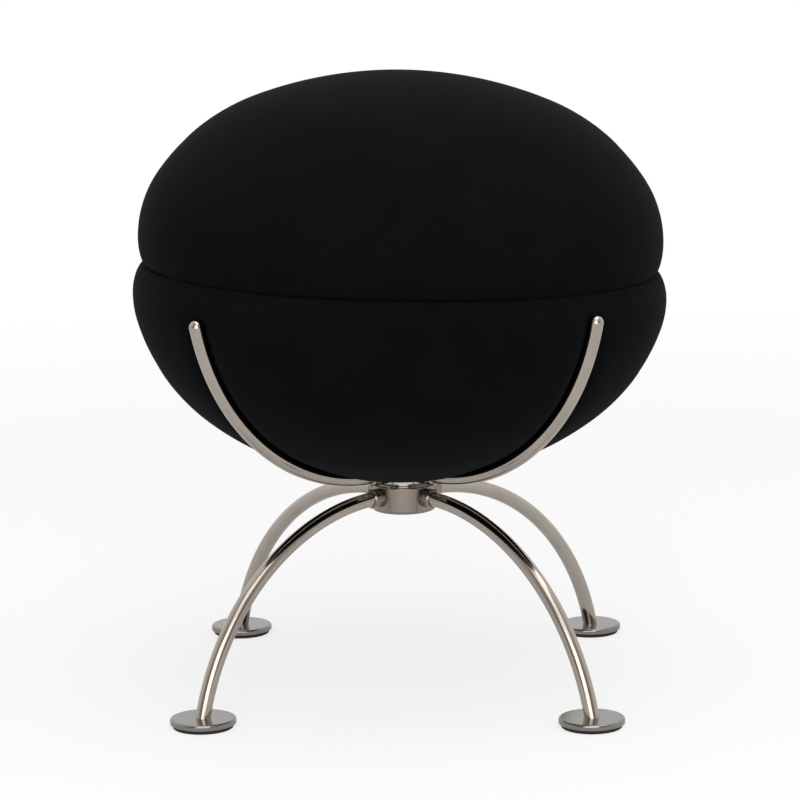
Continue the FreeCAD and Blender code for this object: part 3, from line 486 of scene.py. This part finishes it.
def new_material(name):
    """A material with its node tree and its shader."""
    material = bpy.data.materials.new(name)
    material.use_nodes = True
    tree = material.node_tree
    return material, tree, tree.nodes["Principled BSDF"]


def add_node(tree, kind, **inputs):
    """A node with its inputs set, each given by its name with underscores for spaces."""
    node = tree.nodes.new(kind)
    for key, value in inputs.items():
        node.inputs[key.replace("_", " ")].default_value = value
    return node


def noise(tree, place, scale, detail=4.0, stretch=None):
    """A noise of that many features to the metre, drawn out along the axes where stretch is given."""
    if stretch:
        mapping = add_node(tree, "ShaderNodeMapping", Scale=stretch)
        tree.links.new(place, mapping.inputs["Vector"])
        place = mapping.outputs["Vector"]
    node = add_node(tree, "ShaderNodeTexNoise", Scale=scale, Detail=detail)
    tree.links.new(place, node.inputs["Vector"])
    return node.outputs["Fac"]


def ramp(tree, value, low, high, dark, light):
    """A number turned into a colour between two, over part of its range."""
    node = tree.nodes.new("ShaderNodeValToRGB")
    for element, at, colour in zip(node.color_ramp.elements, (low, high), (dark, light)):
        element.position = at
        element.color = (*colour, 1.0)
    tree.links.new(value, node.inputs["Fac"])
    return node.outputs["Color"]


def spread(tree, value, low, high):
    """A number from 0 to 1 turned into one between two others."""
    node = add_node(tree, "ShaderNodeMapRange", To_Min=low, To_Max=high)
    tree.links.new(value, node.inputs["Value"])
    return node.outputs["Result"]


def mixed(tree, first, second, share):
    """Two numbers mixed in a fixed share."""
    node = tree.nodes.new("ShaderNodeMix")
    node.inputs["Factor"].default_value = share
    tree.links.new(first, node.inputs["A"])
    tree.links.new(second, node.inputs["B"])
    return node.outputs["Result"]


def bump(tree, shader, height, strength, distance):
    """Relief from a number, up to distance in metres."""
    node = add_node(tree, "ShaderNodeBump", Strength=strength, Distance=distance)
    tree.links.new(height, node.inputs["Height"])
    tree.links.new(node.outputs["Normal"], shader.inputs["Normal"])


def object_place(tree):
    """Places in the object's own metres."""
    return tree.nodes.new("ShaderNodeTexCoord").outputs["Object"]


def fabric(name):
    """Black felted wool: fine fibres, small nubs and a faint unevenness in its black."""
    material, tree, shader = new_material(name)
    place = object_place(tree)
    fibres = noise(tree, place, scale=1800.0, detail=6.0)
    broad = noise(tree, place, scale=22.0, detail=3.0)
    nubs = add_node(tree, "ShaderNodeTexVoronoi", Scale=620.0)
    tree.links.new(place, nubs.inputs["Vector"])
    cloth = mixed(tree, fibres, nubs.outputs["Distance"], share=0.4)
    tone = mixed(tree, cloth, broad, share=0.35)
    colour = ramp(tree, tone, low=0.30, high=0.72, dark=FABRIC_DARK, light=FABRIC_LIGHT)
    tree.links.new(colour, shader.inputs["Base Color"])
    tree.links.new(spread(tree, cloth, low=0.86, high=1.0), shader.inputs["Roughness"])
    shader.inputs["Specular IOR Level"].default_value = 0.04
    shader.inputs["Sheen Weight"].default_value = 0.022
    shader.inputs["Sheen Roughness"].default_value = 0.45
    shader.inputs["Sheen Tint"].default_value = FABRIC_SHEEN
    bump(tree, shader, cloth, strength=0.35, distance=0.0005)
    return material


def metal(name, colour, roughness, stretch=(1.0, 1.0, 1.0)):
    """Polished or satin metal: a cloudy finish, fine grain and faint smudges."""
    material, tree, shader = new_material(name)
    place = object_place(tree)
    clouds = noise(tree, place, scale=40.0)
    fine = noise(tree, place, scale=900.0, detail=3.0, stretch=stretch)
    smudges = noise(tree, place, scale=160.0, detail=5.0)
    dark, light = (tuple(share * channel for channel in colour) for share in METAL_TONES)
    tone = ramp(tree, clouds, low=0.3, high=0.7, dark=dark, light=light)
    tree.links.new(tone, shader.inputs["Base Color"])
    finish = mixed(tree, smudges, fine, share=0.5)
    rough = spread(tree, finish, low=roughness * 0.8, high=roughness * 1.2)
    tree.links.new(rough, shader.inputs["Roughness"])
    shader.inputs["Metallic"].default_value = 1.0
    bump(tree, shader, fine, strength=0.12, distance=0.00001)
    return material


def matte(name, dark, light, roughness, grain, depth):
    """Rubber, plastic or foam: two tones of fine grain over a matt body."""
    material, tree, shader = new_material(name)
    place = object_place(tree)
    fine = noise(tree, place, scale=grain, detail=5.0)
    broad = noise(tree, place, scale=grain / 20.0, detail=3.0)
    tone = mixed(tree, fine, broad, share=0.5)
    colour = ramp(tree, tone, low=0.3, high=0.7, dark=dark, light=light)
    tree.links.new(colour, shader.inputs["Base Color"])
    rough = spread(tree, fine, low=roughness * 0.85, high=min(1.0, roughness * 1.1))
    tree.links.new(rough, shader.inputs["Roughness"])
    bump(tree, shader, fine, strength=0.3, distance=depth)
    return material


def plywood(name):
    """Birch plywood: long grain on the faces and thin plies on the edge."""
    material, tree, shader = new_material(name)
    place = object_place(tree)
    grain = noise(tree, place, scale=60.0, detail=6.0, stretch=(1.0, 0.06, 1.0))
    plies = add_node(tree, "ShaderNodeTexWave", Scale=330.0, Distortion=0.3)
    plies.bands_direction = "Z"
    tree.links.new(place, plies.inputs["Vector"])
    tone = mixed(tree, grain, plies.outputs["Fac"], share=0.25)
    colour = ramp(tree, tone, low=0.3, high=0.7, dark=BIRCH_DARK, light=BIRCH_LIGHT)
    tree.links.new(colour, shader.inputs["Base Color"])
    tree.links.new(spread(tree, grain, low=0.55, high=0.75), shader.inputs["Roughness"])
    bump(tree, shader, grain, strength=0.2, distance=0.0002)
    return material


MATERIALS = {
    "polished_nickel": metal("polished_nickel", NICKEL, roughness=0.13),
    "satin_nickel": metal("satin_nickel", SATIN_NICKEL, roughness=0.25, stretch=(1.0, 1.0, 6.0)),
    "zinc_steel": metal("zinc_steel", ZINC, roughness=0.35),
    "bronze": metal("bronze", BRONZE, roughness=0.4),
    "glide": matte("glide", RUBBER_DARK, RUBBER_LIGHT, roughness=0.75, grain=1500.0, depth=0.0001),
    "black_plastic": matte("black_plastic", PLASTIC_DARK, PLASTIC_LIGHT, roughness=0.5,
                           grain=1200.0, depth=0.00005),
    "foam": matte("foam", FOAM_DARK, FOAM_LIGHT, roughness=0.95, grain=800.0, depth=0.0004),
    "plywood": plywood("plywood"),
    "black_fabric": fabric("black_fabric"),
}

# Finishes and painted light of nodes that differ from the rest of their slot, by the node's name without
# its number: the foot discs' darker nickel is painted shade and the neck's lighter nickel a painted
# highlight, each with its own roughness
FINISHES_AND_PAINTED_LIGHT = {
    "foot_disc": metal("foot_nickel_painted_shade", FOOT_NICKEL_PAINTED_SHADE, roughness=0.15),
    "seat_hub": metal("neck_nickel_painted_highlight", NECK_NICKEL_PAINTED_HIGHLIGHT, roughness=0.10),
}

for entry in frame["record"]["subparts"]:
    node_mesh = frame["nodes"][entry["node"]].data
    node_mesh.materials.clear()
    kind = entry["node"].rstrip("_0123456789")
    node_mesh.materials.append(FINISHES_AND_PAINTED_LIGHT.get(kind, MATERIALS[entry["material_slot"]]))

# The fabric pieces, the solids that each stands for, and how tightly it is filled
bowl = make_bowl()
cushion = make_cushion()
SOFT_PIECES = (
    (bowl, ("bowl_cover", "bowl_core"), 0.95),
    (cushion, ("cushion_cover", "cushion_foam"), 0.9),
)
for piece, nodes, fill in SOFT_PIECES:
    piece.data.materials.append(MATERIALS["black_fabric"])
    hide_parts(*nodes)
    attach(piece, "seat")


# Floor, which glows more from FLOOR_NEAR to FLOOR_FAR so that it fades to white round the stool
FLOOR_SIZE = 60.0
FLOOR_NEAR = 0.9
FLOOR_FAR = 2.2
FLOOR_GLOW = (0.75, 1.0)
FLOOR_GLOW_IN_METAL = (0.4, 0.5)
FLOOR_PAINT = (0.92, 0.92, 0.92)
FLOOR_BOUNCE = (0.6, 0.6, 0.6)

# Room: its colours in metal, where they meet between front (0) and back (1), and its soft light
ROOM_FRONT = (0.27, 0.24, 0.215)
ROOM_BACK = (0.85, 0.85, 0.85)
ROOM_MEETING = (0.12, 0.52)
AMBIENT = 0.55
WHITE = (1.0, 1.0, 1.0, 1.0)


def combined(tree, operation, first, second):
    """Two numbers put through a plain sum, product or the like."""
    node = tree.nodes.new("ShaderNodeMath")
    node.operation = operation
    tree.links.new(first, node.inputs[0])
    tree.links.new(second, node.inputs[1])
    return node.outputs["Value"]


def mirror_rays(tree, path):
    """1 for what is seen in metal or through something clear."""
    return combined(tree, "MAXIMUM", path.outputs["Is Glossy Ray"], path.outputs["Is Transmission Ray"])


def make_floor():
    """A pale floor that keeps the stool's shadow and fades to white away from it."""
    half = FLOOR_SIZE / 2
    corners = np.array([(-half, -half, 0.0), (half, -half, 0.0), (half, half, 0.0), (-half, half, 0.0)])
    floor = make_object("floor", corners, [(0, 1, 2, 3)])
    material, tree, shader = new_material("floor")
    tree.nodes.remove(shader)
    output = tree.nodes["Material Output"]
    paint = tree.nodes.new("ShaderNodeBsdfDiffuse")
    glow = add_node(tree, "ShaderNodeEmission", Color=WHITE, Strength=1.0)
    path = tree.nodes.new("ShaderNodeLightPath")
    seen = path.outputs["Is Camera Ray"]
    colour = ramp(tree, seen, low=0.0, high=1.0, dark=FLOOR_BOUNCE, light=FLOOR_PAINT)
    tree.links.new(colour, paint.inputs["Color"])
    away = tree.nodes.new("ShaderNodeVectorMath")
    away.operation = "LENGTH"
    tree.links.new(object_place(tree), away.inputs[0])
    shares = []
    for rays, (near, far) in ((seen, FLOOR_GLOW), (mirror_rays(tree, path), FLOOR_GLOW_IN_METAL)):
        fade = add_node(tree, "ShaderNodeMapRange", From_Min=FLOOR_NEAR, From_Max=FLOOR_FAR,
                        To_Min=near, To_Max=far)
        fade.interpolation_type = "SMOOTHSTEP"
        tree.links.new(away.outputs["Value"], fade.inputs["Value"])
        shares.append(combined(tree, "MULTIPLY", rays, fade.outputs["Result"]))
    share = combined(tree, "MAXIMUM", *shares)
    blend = tree.nodes.new("ShaderNodeMixShader")
    tree.links.new(share, blend.inputs["Fac"])
    tree.links.new(paint.outputs["BSDF"], blend.inputs[1])
    tree.links.new(glow.outputs["Emission"], blend.inputs[2])
    tree.links.new(blend.outputs["Shader"], output.inputs["Surface"])
    floor.data.materials.append(material)


def make_world():
    """White for the camera, a pale back and a dim front of the room in metal, soft light all round."""
    world = bpy.data.worlds.new("studio")
    bpy.context.scene.world = world
    world.use_nodes = True
    tree = world.node_tree
    tree.nodes.clear()
    path = tree.nodes.new("ShaderNodeLightPath")
    direction = tree.nodes.new("ShaderNodeTexCoord").outputs["Generated"]
    split = tree.nodes.new("ShaderNodeSeparateXYZ")
    tree.links.new(direction, split.inputs["Vector"])
    depth = add_node(tree, "ShaderNodeMapRange", From_Min=-1.0, From_Max=1.0)
    tree.links.new(split.outputs["Y"], depth.inputs["Value"])
    room = ramp(tree, depth.outputs["Result"], *ROOM_MEETING, dark=ROOM_FRONT, light=ROOM_BACK)
    soft = add_node(tree, "ShaderNodeBackground", Color=WHITE, Strength=AMBIENT)
    seen_in_metal = tree.nodes.new("ShaderNodeBackground")
    tree.links.new(room, seen_in_metal.inputs["Color"])
    white = add_node(tree, "ShaderNodeBackground", Color=WHITE, Strength=1.0)
    unseen = tree.nodes.new("ShaderNodeMixShader")
    tree.links.new(mirror_rays(tree, path), unseen.inputs["Fac"])
    tree.links.new(soft.outputs["Background"], unseen.inputs[1])
    tree.links.new(seen_in_metal.outputs["Background"], unseen.inputs[2])
    whole = tree.nodes.new("ShaderNodeMixShader")
    tree.links.new(path.outputs["Is Camera Ray"], whole.inputs["Fac"])
    tree.links.new(unseen.outputs["Shader"], whole.inputs[1])
    tree.links.new(white.outputs["Background"], whole.inputs[2])
    output = tree.nodes.new("ShaderNodeOutputWorld")
    tree.links.new(whole.outputs["Shader"], output.inputs["Surface"])


def look_at(place, aim):
    """The turn that points a camera's or lamp's -Z at a place, with its Y up."""
    return (aim - place).to_track_quat("-Z", "Y")


def soft_box(name, place, aim, width, height, radiance):
    """A rectangular soft light of a given brightness."""
    lamp = bpy.data.lights.new(name, "AREA")
    lamp.shape = "RECTANGLE"
    lamp.size = width
    lamp.size_y = height
    lamp.energy = radiance * math.pi * width * height
    light = bpy.data.objects.new(name, lamp)
    light.location = place
    light.rotation_mode = "QUATERNION"
    light.rotation_quaternion = look_at(Vector(place), Vector(aim))
    light.visible_camera = False
    bpy.context.collection.objects.link(light)


def make_camera():
    """The camera, turned about the stool's axis and then rolled."""
    turn = Matrix.Rotation(CAMERA_AZIMUTH, 4, "Z")
    place, aim = turn @ CAMERA_PLACE, turn @ CAMERA_AIM
    data = bpy.data.cameras.new("camera")
    data.lens = CAMERA_LENS
    data.sensor_width = CAMERA_SENSOR
    camera = bpy.data.objects.new("camera", data)
    rest = look_at(place, aim).to_matrix().to_4x4()
    camera.matrix_world = Matrix.Translation(place) @ rest @ Matrix.Rotation(CAMERA_ROLL, 4, "Z")
    bpy.context.collection.objects.link(camera)
    bpy.context.scene.camera = camera


make_floor()
make_world()
soft_box("front_box", place=(0.05, -3.2, 1.15), aim=(0.0, 0.0, 0.9), width=2.8, height=2.2, radiance=2.3)
soft_box("arch_box", place=(0.25, -2.3, 2.7), aim=(0.0, 0.0, 0.2), width=2.2, height=1.5, radiance=1.5)
soft_box("top_box", place=(0.35, -0.2, 3.0), aim=(0.0, 0.0, 0.2), width=2.2, height=2.4, radiance=1.9)
make_camera()
bpy.context.scene.view_settings.view_transform = "Standard"
